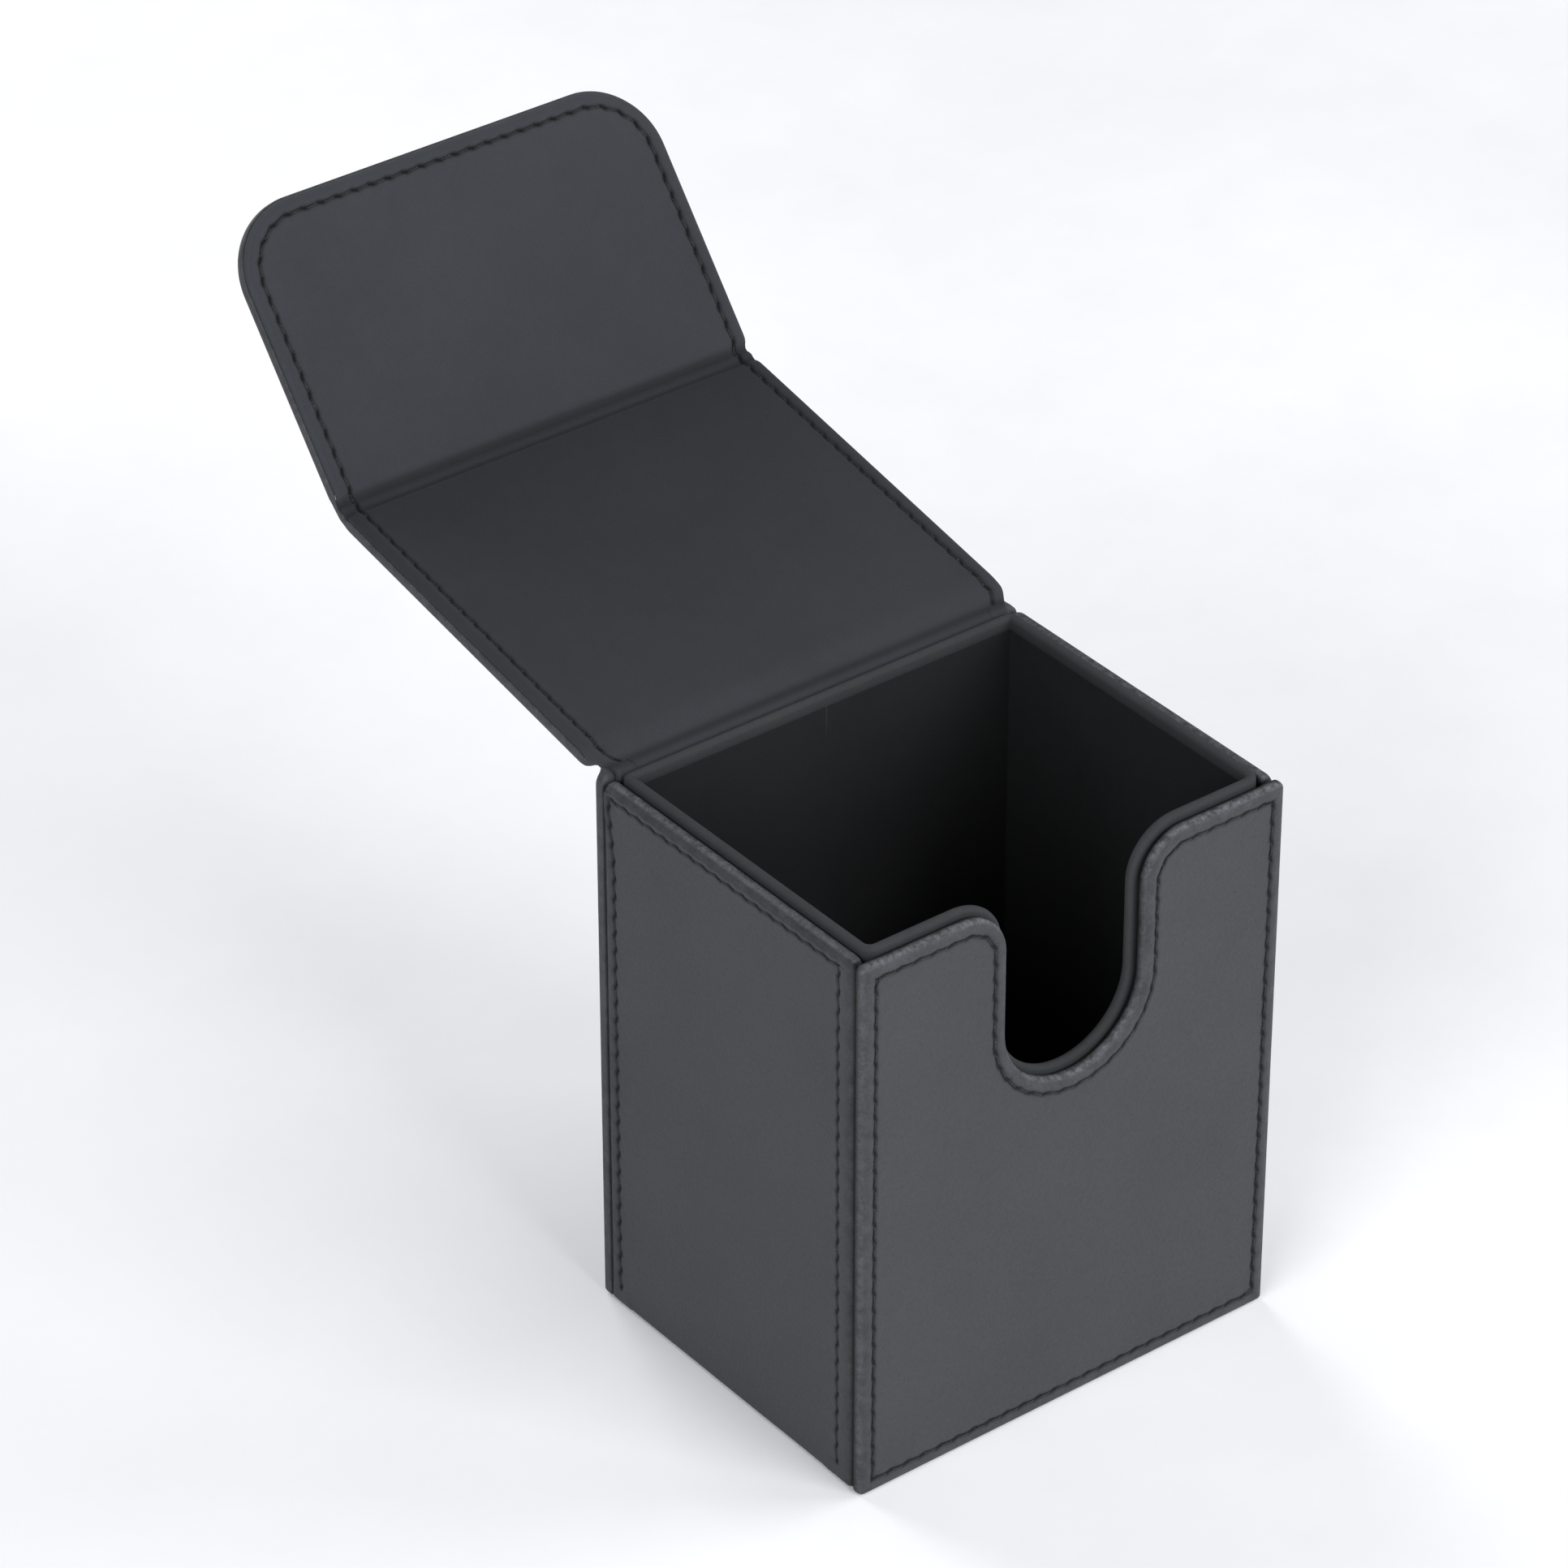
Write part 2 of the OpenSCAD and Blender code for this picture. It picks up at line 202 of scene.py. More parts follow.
class Section:
    """Two matched lines, the shown face and the back face, that a sheet follows. u is the distance along
    the shown one."""

    def __init__(self, shown, back):
        self.shown, self.back = np.array(shown, float), np.array(back, float)
        self.u = lengths(self.shown)
        self.length = self.u[-1]

    def both(self, u):
        """The shown face's and the back face's points at u."""
        shown = np.stack([np.interp(u, self.u, self.shown[:, k]) for k in (0, 1)], -1)
        back = np.stack([np.interp(u, self.u, self.back[:, k]) for k in (0, 1)], -1)
        return shown, back

    def thickness(self, u):
        shown, back = self.both(u)
        return np.linalg.norm(back - shown, axis=-1)

    def at(self, u, depth):
        """The points at u that lie a depth below the shown face."""
        shown, back = self.both(u)
        across = back - shown
        return shown + across * (depth / np.linalg.norm(across, axis=-1))[:, None]

    def nearest(self, point):
        """The u of the shown line's point that is nearest to a point."""
        return self.u[np.argmin(np.linalg.norm(self.shown - np.array(point), axis=1))]


# ---- sheets: a wrapped, padded or lined piece drawn flat and laid along a section ----


def inside(points, polygon):
    """Which points lie inside a polygon."""
    x, y = points[:, 0][:, None], points[:, 1][:, None]
    a, b = polygon, np.roll(polygon, -1, axis=0)
    crosses = (a[:, 1] > y) != (b[:, 1] > y)
    rise = np.where(b[:, 1] == a[:, 1], 1e-12, b[:, 1] - a[:, 1])
    hit = x < (b[:, 0] - a[:, 0]) * (y - a[:, 1]) / rise + a[:, 0]
    return (crosses & hit).sum(1) % 2 == 1


def clear_of(points, line, gap):
    """Points that keep a distance from a line's points."""
    if not len(points):
        return points
    keep = [np.min(np.sum((line - p) ** 2, axis=1)) > gap * gap for p in points]
    return points[np.array(keep)]


class Sheet:
    """A piece drawn flat in (u, v), u along its section and v across it.

    outline   points and their outward directions; closure joins its ends if it is open
    seams     1 where the outline is sewn, and seam_in is how far in; reach is how far its relief goes past it
    box       low and high u, low and high v, and which of these four sides are edges and not cuts
    edge_r    how round the edge is towards the shown face, and back_r towards the back
    relief    step_down inside the seam, crown between seam and edge, groove in the seam, swell beside each
              stitch, wave of the ripple and its calm along u, jog of the seam at each stitch
    sink      how deep the thread lies; gap and back_gap_shade paint shade on edges that butt against a neighbour
    crease_shade, nap_and_painted_light and pinch run along u: painted shade in grooves and folds, painted light
    that sets how pale the lining is, and how much the sides draw in
    lines_u   where the faces get extra points; grid and back_fine say how fine the rest is"""

    GROOVE_W, SWELL_AT, SWELL_W, SHADOW_W = 0.3, 0.85, 0.4, 0.36
    SEAM_RINGS = (1.3, 0.9, 0.62, 0.4, 0.2, 0, -0.2, -0.4, -0.62, -0.9)
    MARGIN_RINGS = (0.66, 0.33)
    PLAIN_RINGS = (3.0, 1.6)
    EDGE_STEPS, BACK_STEPS, BACK_REACH, RIM_GAP = 5, 4, 1.2, 0.35

    def __init__(self, name, section, axes, outline, seams=0, closure=None, edge_r=0.6, back_r=0.35,
                 box=None, seam_in=SEAM_IN, step_down=0.12, crown=0.06, groove=0.3, swell=0.06, wave=0.06,
                 jog=0.1, sink=0.08, crease_shade=None, nap_and_painted_light=None, lines_u=(), grid=3.0, pinch=None,
                 back_fine=True, reach=2.2, gap=0.0, back_gap_shade=0.0, calm=None):
        self.name, self.section, self.axes = name, section, axes
        self.points, self.right = outline
        self.closed = closure is None
        self.closure = np.zeros((0, 2)) if closure is None else np.array(closure, float).reshape(-1, 2)
        self.edge_r, self.back_r, self.box = edge_r, back_r, box
        none = np.zeros(len(self.points))
        self.seam_in, self.sewn, self.gap, self.back_gap_shade = (none + x for x in (seam_in, seams, gap, back_gap_shade))
        self.step_down, self.crown, self.groove = step_down, crown, groove
        self.swell, self.wave, self.reach, self.jog, self.sink = swell, wave, reach, jog, sink
        self.crease_shade = crease_shade or (lambda u: np.zeros(len(u)))
        self.nap_and_painted_light = nap_and_painted_light or (lambda u: np.ones(len(u)))
        self.calm = calm or (lambda u: np.ones(len(u)))
        self.lines_u, self.grid, self.pinch, self.back_fine = lines_u, grid, pinch, back_fine
        self.seam_line = self.ring(self.seam_in)
        self.find_stitches()

    def ring(self, distance):
        """The outline drawn in by a distance for each point, with mitred corners."""
        distance = np.asarray(distance)
        at = self.points - self.right * distance[:, None]
        if self.box is None:
            return at
        even = np.ptp(self.seam_in) < 1e-6
        for axis in (0, 1):
            drawn_in = []
            for side in (2 * axis, 2 * axis + 1):
                on_side = np.abs(self.points[:, axis] - self.box[side]) < 1e-6
                own = distance if even else distance[on_side].min()
                drawn_in.append(own if self.box[4][side] else 0.0)
            low, high = self.box[2 * axis] + drawn_in[0], self.box[2 * axis + 1] - drawn_in[1]
            at[:, axis] = np.clip(at[:, axis], low, high)
        return at

    def find_stitches(self):
        """Splits the seam into runs of stitches, and finds each point's place within its stitch."""
        n = len(self.points)
        self.phase, self.stitches = np.zeros(n), []
        on = self.sewn > 0.5
        if not on.any():
            return
        line, order = self.seam_line, np.arange(n)
        if self.closed and on.all():
            order = np.append(order, 0)
            runs = [order]
        else:
            if self.closed and on[0] and on[-1]:
                first_off = int(np.argmin(on))
                order = np.roll(order, -first_off)
            marks = on[order].astype(int)
            starts = np.flatnonzero(np.diff(np.concatenate([[0], marks])) == 1)
            stops = np.flatnonzero(np.diff(np.concatenate([marks, [0]])) == -1)
            runs = [order[a:b + 1] for a, b in zip(starts, stops)]
        for run in runs:
            if len(run) < 5:
                continue
            s = lengths(line[run])
            count = max(1, round(s[-1] / PITCH))
            pitch = s[-1] / count
            self.phase[run] = (s / pitch) % 1
            for k in range(count):
                ends = []
                for offset in (-STITCH_L / 2, STITCH_L / 2):
                    where = (k + 0.5) * pitch + offset
                    ends.append([np.interp(where, s, line[run, c]) for c in (0, 1)])
                self.stitches.append(np.array(ends))

    def relief(self, distance, u, v):
        """How deep the shown face lies below its plane at each outline point, drawn in by a distance. The
        groove is deepest between the stitches, and the swell is highest beside their middles."""
        off = distance - self.seam_in
        beat = np.cos(2 * math.pi * self.phase)
        depth = self.sewn * self.groove * bell(off - self.jogs(), self.GROOVE_W) * (0.7 + 0.3 * beat)
        puffed = bell(np.abs(off) - self.SWELL_AT, self.SWELL_W) * (0.5 - 0.5 * beat)
        depth -= self.sewn * self.swell * puffed
        depth += self.step_down * self.sewn * smoothstep((off + 0.2) / 1.2)
        middle = np.clip((distance - 0.2) / np.maximum(self.seam_in - 0.5, 0.3), 0, 1)
        depth -= self.crown * self.sewn * np.sin(math.pi * middle) ** 0.8
        return depth + self.ripple(u, v) * smoothstep((distance - 0.4) / 3)

    def jogs(self):
        """How far each stitch pulls the seam to one side and then the other."""
        turn = 2 * math.pi * self.phase
        return self.jog * (np.sin(turn) + 0.45 * np.sin(2 * turn))

    def shadow(self, distance, u):
        """Painted shade in the seam's groove, darkest at the stitch holes, and the painted crease shade, from 0 to
        1.
        """
        hole_shade = 0.8 + 0.3 * np.cos(2 * math.pi * self.phase)
        seam = self.sewn * bell(distance - self.seam_in - self.jogs(), self.SHADOW_W) * hole_shade
        return np.clip(seam + self.crease_shade(u), 0, 1)

    def butt_shade(self, from_last):
        """Painted shade on a ring of the edge where it butts against its neighbour. Rings count from the last."""
        shown = np.interp(from_last, [-11, -10, -9, -8], [0, 0.2, 0.65, 1])
        back = np.interp(from_last, [-8, -7, -6, -5], [0, 0.15, 0.6, 1])
        return np.clip(self.gap * shown + self.back_gap_shade * back, 0, 1)

    def ripple(self, u, v):
        """Slow unevenness of glued leatherette, which fades out where a piece is cut."""
        if not self.wave:
            return np.zeros(len(u))
        seed = sum(map(ord, self.name)) % 97
        return self.wave * self.calm(u) * np.array([noise.noise(Vector((a / 17, b / 17, seed))) +
                                                 0.4 * noise.noise(Vector((a / 6, b / 6, seed + 9)))
                                                 for a, b in zip(u, v)])

    def place(self, uv, depth):
        """Flat points and depths to metres in the row frame."""
        u, v = uv[:, 0], uv[:, 1].copy()
        if self.pinch is not None:
            v *= 1 - self.pinch(u)
        plane = self.section.at(u, depth)
        out = np.zeros((len(uv), 3))
        out[:, self.axes[0]], out[:, self.axes[1]] = plane[:, 0], plane[:, 1]
        out[:, self.axes[2]] = v
        return out * MM

    def rings(self):
        """Each ring's distances from the outline and its depths, from the shown face's middle round the
        edge to the back. Depths of None are left to the relief."""
        seam, ones = self.seam_in, np.ones(len(self.points))
        thick = self.section.thickness(self.points[:, 0])
        shrink = np.clip(thick / (self.edge_r + self.back_r) / 1.02, 0.05, 1)
        edge, back = self.edge_r * shrink, self.back_r * shrink
        listed = []
        if self.sewn.any():
            for off in (self.reach, *self.SEAM_RINGS):
                listed.append((seam + off, None))
            for share in self.MARGIN_RINGS:
                listed.append((edge + (seam + self.SEAM_RINGS[-1] - edge) * share, None))
        else:
            for d in self.PLAIN_RINGS:
                listed.append((edge + d, None))
        for k in range(self.EDGE_STEPS + 1):
            t = math.pi / 2 * k / self.EDGE_STEPS
            listed.append((edge * (1 - math.sin(t)), edge * (1 - math.cos(t))))
        for k in range(self.BACK_STEPS + 1):
            t = math.pi / 2 * k / self.BACK_STEPS
            listed.append((back * (1 - math.cos(t)), thick - back * (1 - math.sin(t))))
        listed.append((back + self.BACK_REACH, thick))
        return [(d * ones, h) for d, h in listed]

    def fill(self, rim, fine):
        """Interior points of a face whose rim is given."""
        low, high = rim.min(0), rim.max(0)
        step = self.grid if fine else self.grid * 3
        us = list(np.arange(low[0] + step / 2, high[0], step))
        lines = [x for x in self.lines_u if low[0] < x < high[0]]
        if lines:
            us = [x for x in us if min(abs(x - y) for y in lines) > step * 0.4] + lines
        vs = np.arange(low[1] + step / 2, high[1], step)
        points = np.array([(a, b) for a in us for b in vs])
        points = points[inside(points, rim)]
        return clear_of(points, rim, self.RIM_GAP)

    def add(self, uv, depth, distance, shadow):
        """Adds points with what the mesh carries for them, and gives their numbers."""
        start = len(self.verts)
        self.verts.extend(self.place(uv, depth))
        self.carried["edge"].extend(distance)
        self.carried["shadow"].extend(shadow)
        # each point's painted light, which sets how pale the lining is there
        self.carried["nap_and_painted_light"].extend(self.nap_and_painted_light(uv[:, 0]))
        return np.arange(start, start + len(uv))

    def build(self, material):
        """The piece's mesh: rings round the edge, both faces, and the cut or open side of an open outline."""
        self.verts, self.faces, self.carried = [], [], {"edge": [], "shadow": [], "nap_and_painted_light": []}
        listed, made = self.rings(), []
        for place, (distance, depth) in enumerate(listed):
            uv = self.ring(distance)
            if depth is None:
                depth = self.relief(distance, uv[:, 0], uv[:, 1])
                shadow = self.shadow(distance, uv[:, 0])
            else:
                shadow = self.crease_shade(uv[:, 0]) + self.butt_shade(place - len(listed))
            made.append((self.add(uv, depth, distance, shadow), uv))
        n = len(self.points)
        for (a, _), (b, _) in zip(made, made[1:]):
            for i in range(n if self.closed else n - 1):
                j = (i + 1) % n
                self.faces.append((a[i], a[j], b[j], b[i]))
        front = self.face_inside(*made[0], on_back=False)
        back = self.face_inside(*made[-1], on_back=True)
        if len(self.closure):
            for i in range(len(front) - 1):
                self.faces.append((front[i], front[i + 1], back[i + 1], back[i]))
        elif not self.closed:
            self.faces.append(tuple([ids[0] for ids, _ in made] + [ids[-1] for ids, _ in reversed(made)]))
        return make_mesh(self.name, self.verts, self.faces, material, self.carried)

    def rim_of(self, ids, uv):
        """A ring without its repeated points."""
        keep = [0]
        for i in range(1, len(uv)):
            if np.linalg.norm(uv[i] - uv[keep[-1]]) > 1e-3:
                keep.append(i)
        if self.closed and np.linalg.norm(uv[keep[0]] - uv[keep[-1]]) < 1e-3:
            keep.pop()
        return list(ids[keep]), uv[keep]

    def face_inside(self, ids, uv, on_back):
        """Fills a face inside its last ring, and gives the numbers of the closure's points."""
        rim_ids, rim = self.rim_of(ids, uv)
        more = []
        if len(self.closure):
            extra = self.closure
            depth = self.section.thickness(extra[:, 0]) if on_back else np.zeros(len(extra))
            more = self.add(extra, depth, np.full(len(extra), DEEP_INSIDE), np.zeros(len(extra)))
            rim_ids += list(more)
            rim = np.vstack([rim, extra])
        inner, inner_ids = self.fill(rim, self.back_fine if on_back else True), []
        if len(inner):
            u, v = inner[:, 0], inner[:, 1]
            if on_back:
                depth, dark = self.section.thickness(u), np.zeros(len(inner))
            else:
                level = self.step_down if self.sewn.any() else 0.0
                depth, dark = np.full(len(inner), level) + self.ripple(u, v), self.crease_shade(u)
            inner_ids = list(self.add(inner, depth, np.full(len(inner), DEEP_INSIDE), dark))
        given = [Vector(p) for p in np.vstack([rim, inner.reshape(-1, 2)])]
        _, _, tris, origin, _, _ = delaunay_2d_cdt(given, [], [list(range(len(rim)))], 1, 1e-5)
        all_ids = rim_ids + inner_ids
        for tri in tris:
            corner = [all_ids[origin[i][0]] for i in tri if origin[i]]
            if len(corner) == 3:
                self.faces.append(tuple(corner))
        return more


def make_mesh(name, verts, faces, material, values=None, sharp=55):
    """An object from points and faces, cleaned, with its slits closed and its outside facing out. It
    carries the given values and each point's rest place, which the materials read."""
    mesh = bpy.data.meshes.new(name)
    bm = bmesh.new()
    layers = {key: bm.verts.layers.float.new(key) for key in values or {}}
    made = [bm.verts.new(v) for v in verts]
    for key, layer in layers.items():
        for v, number in zip(made, values[key]):
            v[layer] = float(number)
    for f in faces:
        ring = [made[i] for k, i in enumerate(f) if i != f[k - 1]]
        if len(set(ring)) >= 3:
            try:
                bm.faces.new(ring)
            except ValueError:
                pass
    bmesh.ops.remove_doubles(bm, verts=bm.verts, dist=2e-6)
    bmesh.ops.dissolve_degenerate(bm, edges=bm.edges, dist=1e-6)
    loose = [v for v in bm.verts if not v.link_faces]
    bmesh.ops.delete(bm, geom=loose, context="VERTS")
    slits = [e for e in bm.edges if e.is_boundary]
    bmesh.ops.holes_fill(bm, edges=slits, sides=12)
    bmesh.ops.recalc_face_normals(bm, faces=bm.faces)
    bm.to_mesh(mesh)
    bm.free()
    rest = mesh.attributes.new("rest", "FLOAT_VECTOR", "POINT")
    co = np.zeros(len(mesh.vertices) * 3, np.float32)
    mesh.vertices.foreach_get("co", co)
    rest.data.foreach_set("vector", co)
    for polygon in mesh.polygons:
        polygon.use_smooth = True
    mesh.set_sharp_from_angle(angle=math.radians(sharp))
    obj = bpy.data.objects.new(name, mesh)
    bpy.context.scene.collection.objects.link(obj)
    obj.data.materials.append(material)
    return obj


# ---- stitches ----

THREAD_SIDES, THREAD_CUTS = 8, 8  # round a thread, and along a stitch
TAPER, SQUASH = 0.18, 0.85  # how much thinner the ends are, and how flat the thread is
LEAN, LEAN_SPREAD, LOW, LOW_SPREAD = 0.10, 0.04, 0.03, 0.015
DIVE, DIVE_POWER = 0.42, 4.5  # how deep the ends go, and how sharply


def thread_mesh(name, sheets, material, keep=None):
    """Every stitch of some sheets' seams as an arched length of thread whose ends go down into the cover."""
    verts, faces = [], []
    sides, cuts = THREAD_SIDES, THREAD_CUTS
    for sheet in sheets:
        for ends in sheet.stitches:
            if keep is not None and not keep(sheet, ends.mean(0)):
                continue
            a, b = ends
            along = (b - a) / np.linalg.norm(b - a)
            across = np.array([-along[1], along[0]])
            lean = LEAN + LEAN_SPREAD * RNG.standard_normal()
            a, b = a + across * lean, b - across * lean
            low = LOW + LOW_SPREAD * RNG.standard_normal()
            start = len(verts)
            uv, depth = [], []
            for k in range(cuts + 1):
                t = k / cuts
                bow = abs(2 * t - 1)
                centre = a + (b - a) * t
                deep = sheet.sink + low + DIVE * bow**DIVE_POWER
                radius = THREAD_R * (1 - TAPER * bow**3)
                for m in range(sides):
                    turn = 2 * math.pi * m / sides
                    uv.append(centre + across * radius * math.cos(turn))
                    depth.append(deep - radius * SQUASH * math.sin(turn))
            verts.extend(sheet.place(np.array(uv), np.array(depth)))
            for k in range(cuts):
                for m in range(sides):
                    p, q = start + k * sides + m, start + k * sides + (m + 1) % sides
                    faces.append((p, q, q + sides, p + sides))
            faces.append(tuple(start + m for m in range(sides)))
            faces.append(tuple(start + cuts * sides + m for m in reversed(range(sides))))
    return make_mesh(name, verts, faces, material, sharp=80)


# ---- materials ----


def nodes_of(name, base, roughness, **fixed):
    """A new material, and a function that adds nodes to it."""
    material = bpy.data.materials.new(name)
    material.use_nodes = True
    tree = material.node_tree
    shader = tree.nodes["Principled BSDF"]
    shader.inputs["Base Color"].default_value = (*base, 1)
    shader.inputs["Roughness"].default_value = roughness
    for key, value in fixed.items():
        shader.inputs[key.replace("_", " ")].default_value = value
    material.diffuse_color = (*base, 1)

    def add(kind, links=(), **values):
        node = tree.nodes.new(kind)
        for key, value in values.items():
            if hasattr(node, key):
                setattr(node, key, value)
            else:
                node.inputs[key.replace("_", " ")].default_value = value
        for socket, source in links:
            tree.links.new(source, node.inputs[socket])
        return node

    return material, add


def ramp(add, source, low, high, to_low, to_high):
    """source mapped from low..high to to_low..to_high, held at the ends."""
    node = add("ShaderNodeMapRange", [("Value", source)])
    node.inputs["From Min"].default_value = low
    node.inputs["From Max"].default_value = high
    node.inputs["To Min"].default_value = to_low
    node.inputs["To Max"].default_value = to_high
    return node.outputs["Result"]


def maths(add, operation, a, b):
    """One sum on two sockets or numbers."""
    node = add("ShaderNodeMath", operation=operation)
    for i, x in enumerate((a, b)):
        if isinstance(x, (int, float)):
            node.inputs[i].default_value = x
        else:
            node.id_data.links.new(x, node.inputs[i])
    return node.outputs[0]


def times(add, first, *others):
    """The product of sockets and numbers."""
    for other in others:
        first = maths(add, "MULTIPLY", first, other)
    return first


def random_at(add, place, scale, detail, roughness=0.5):
    """Noise around 0.5 that varies over the piece, with its scale in waves to the metre."""
    node = add("ShaderNodeTexNoise", [("Vector", place)], Scale=scale, Detail=detail, Roughness=roughness)
    return node.outputs["Fac"]


def finish(material, add, base, tone, height, bump_mm, rough):
    """Gives a material its colour, which is the base times a varying tone, its bump and its roughness."""
    colour = add("ShaderNodeVectorMath", [("Scale", tone)], operation="SCALE")
    colour.inputs[0].default_value = base
    bump = add("ShaderNodeBump", [("Height", height)], Strength=1.0, Distance=bump_mm * MM)
    shader = material.node_tree.nodes["Principled BSDF"]
    for key, source in (("Base Color", colour.outputs[0]), ("Normal", bump.outputs[0]), ("Roughness", rough)):
        material.node_tree.links.new(source, shader.inputs[key])
    return material


def from_mesh(add, key, output="Fac"):
    """A value that a piece's mesh carries."""
    return add("ShaderNodeAttribute", attribute_name=key).outputs[output]


def leather(name, base, roughness, grain_mm=0.38, grain=0.042, wear_and_highlight=1.5, band=0.85, margin=0.0, **fixed):
    """Leatherette: a fine pebbled skin, faint mottling, painted shade in the seams, and edges paler in patches,
    partly real rubbing and partly painted highlight. wear_and_highlight and band say how much and how far in,
    and margin how pale the strip outside the seam is."""
    material, add = nodes_of(name, base, roughness, **fixed)
    rest, edge = from_mesh(add, "rest", "Vector"), from_mesh(add, "edge")
    bend = add("ShaderNodeTexNoise", [("Vector", rest)], Scale=900.0, Detail=1.0)
    warp = add("ShaderNodeVectorMath", [(0, bend.outputs["Color"])], operation="SCALE")
    warp.inputs["Scale"].default_value = 0.00035
    place = add("ShaderNodeVectorMath", [(0, rest), (1, warp.outputs[0])], operation="ADD").outputs[0]
    pebble = add("ShaderNodeTexVoronoi", [("Vector", place)], feature="SMOOTH_F1", Scale=1000 / grain_mm)
    pebble = pebble.outputs["Distance"]
    fine, pores = random_at(add, rest, 6500.0, 2.0, 0.6), random_at(add, rest, 1500.0, 3.0, 0.65)
    cloud, patch = random_at(add, rest, 45.0, 4.0, 0.55), random_at(add, rest, 420.0, 4.0, 0.7)
    scuff = random_at(add, rest, 850.0, 4.0, 0.75)
    height = maths(add, "ADD", times(add, pebble, -1.0), times(add, fine, 0.35))
    height = maths(add, "ADD", height, times(add, pores, 0.7))
    # the strip outside the seam is paler or darker in patches, shifted by margin
    margin_tone = times(add, ramp(add, edge, 0.8, 2.6, 1.0, 0.0),
                    ramp(add, patch, 0.35, 0.65, margin - 0.22, margin + 0.22))
    # painted highlight: the paler edges are partly real rubbing and partly highlight on the rounded edges, made
    # stronger where an edge faces up, as the light falls from above
    up = add("ShaderNodeSeparateXYZ", [(0, add("ShaderNodeNewGeometry").outputs["Normal"])]).outputs["Z"]
    rubbed_and_highlit = times(add, ramp(add, edge, 0.05, band, 1.0, 0.0), ramp(add, scuff, 0.4, 0.64, 0.1, 1.1), wear_and_highlight,
                   ramp(add, up, 0.0, 0.8, 0.3, 1.0))
    worn_and_highlit = maths(add, "ADD", 1.0, maths(add, "ADD", margin_tone, rubbed_and_highlit))
    tone = times(add, ramp(add, cloud, 0.3, 0.7, 0.94, 1.06), ramp(add, fine, 0.35, 0.65, 0.94, 1.06),
                 ramp(add, pebble, 0.1, 0.8, 1.06, 0.88), worn_and_highlit,
                 ramp(add, from_mesh(add, "shadow"), 0.0, 0.72, 1.0, 0.05))
    rough = ramp(add, pores, 0.3, 0.7, roughness - 0.05, roughness + 0.06)
    return finish(material, add, base, tone, height, grain, rough)


def suede(name, base, roughness, rim=1.2, deep=1.0, carried=False, **fixed):
    """Smooth short-napped lining. rim is a painted highlight that makes its edge paler, and deep is painted shade
    that makes it darker further in, or all over on a carried finish. A carried finish is for CAD nodes, whose
    meshes hold no values."""
    material, add = nodes_of(name, base, roughness, **fixed)
    place = add("ShaderNodeTexCoord").outputs["Object"] if carried else from_mesh(add, "rest", "Vector")
    nap_and_painted_light, cloud = random_at(add, place, 4200.0, 3.0, 0.7), random_at(add, place, 38.0, 4.0, 0.6)
    brush = random_at(add, place, 400.0, 3.0, 0.6)
    tone = times(add, ramp(add, cloud, 0.3, 0.7, 0.92, 1.08), ramp(add, nap_and_painted_light, 0.3, 0.7, 0.9, 1.1),
                 ramp(add, brush, 0.3, 0.7, 0.95, 1.05))
    # painted shade: a carried finish is darkened all over by deep
    if carried:
        tone = times(add, tone, deep)
    else:
        # painted highlight on the edge, painted shade further in, the painted shade of the seams and grooves, and
        # the painted light along the lining
        edge = from_mesh(add, "edge")
        tone = times(add, tone, ramp(add, edge, 0.0, 0.8, rim, 1.0), ramp(add, edge, 1.2, 3.6, 1.0, deep),
                     ramp(add, from_mesh(add, "shadow"), 0.0, 0.85, 1.0, 0.08), from_mesh(add, "nap_and_painted_light"))
    rough = ramp(add, brush, 0.3, 0.7, roughness - 0.05, roughness + 0.05)
    return finish(material, add, base, tone, nap_and_painted_light, 0.04, rough)


def fibrous(name, base, roughness, scale, contrast, bump_mm, glints=0.0, **fixed):
    """Thread, board and other matter with a fine random structure, and painted glints in it if asked:
    pale specks that stand in for highlights on the thread's twisted strands.
    """
    material, add = nodes_of(name, base, roughness, **fixed)
    place = add("ShaderNodeTexCoord").outputs["Object"]
    fleck, cloud = random_at(add, place, scale, 4.0, 0.7), random_at(add, place, scale / 14, 3.0)
    tone = times(add, ramp(add, fleck, 0.3, 0.7, 1 - contrast, 1 + contrast),
                 ramp(add, cloud, 0.3, 0.7, 0.94, 1.06))
    # painted highlight: glints add pale specks where the fine noise is high
    tone = maths(add, "ADD", tone, ramp(add, fleck, 0.58, 0.68, 0.0, glints))
    rough = ramp(add, fleck, 0.3, 0.7, roughness - 0.06, roughness + 0.06)
    return finish(material, add, base, tone, fleck, bump_mm, rough)


# three copies of one leatherette whose edges are paler by different amounts, partly real rubbing and partly
# painted highlight: most on the front panel, least on the lid
LEATHER = leather("leatherette", (0.0388, 0.041, 0.045), 0.6, wear_and_highlight=2.3, band=0.6,
                  Specular_IOR_Level=0.22)
SIDE_LEATHER = leather("side_leatherette", (0.0396, 0.042, 0.046), 0.6, wear_and_highlight=1.3, band=0.3, margin=-0.2,
                       Specular_IOR_Level=0.22)
LID_LEATHER = leather("lid_leatherette", (0.04, 0.0425, 0.0465), 0.6, wear_and_highlight=0.5, Specular_IOR_Level=0.22)
LINING = suede("lining", (0.0234, 0.0255, 0.03), 0.85, Specular_IOR_Level=0.15, Sheen_Weight=0.06)
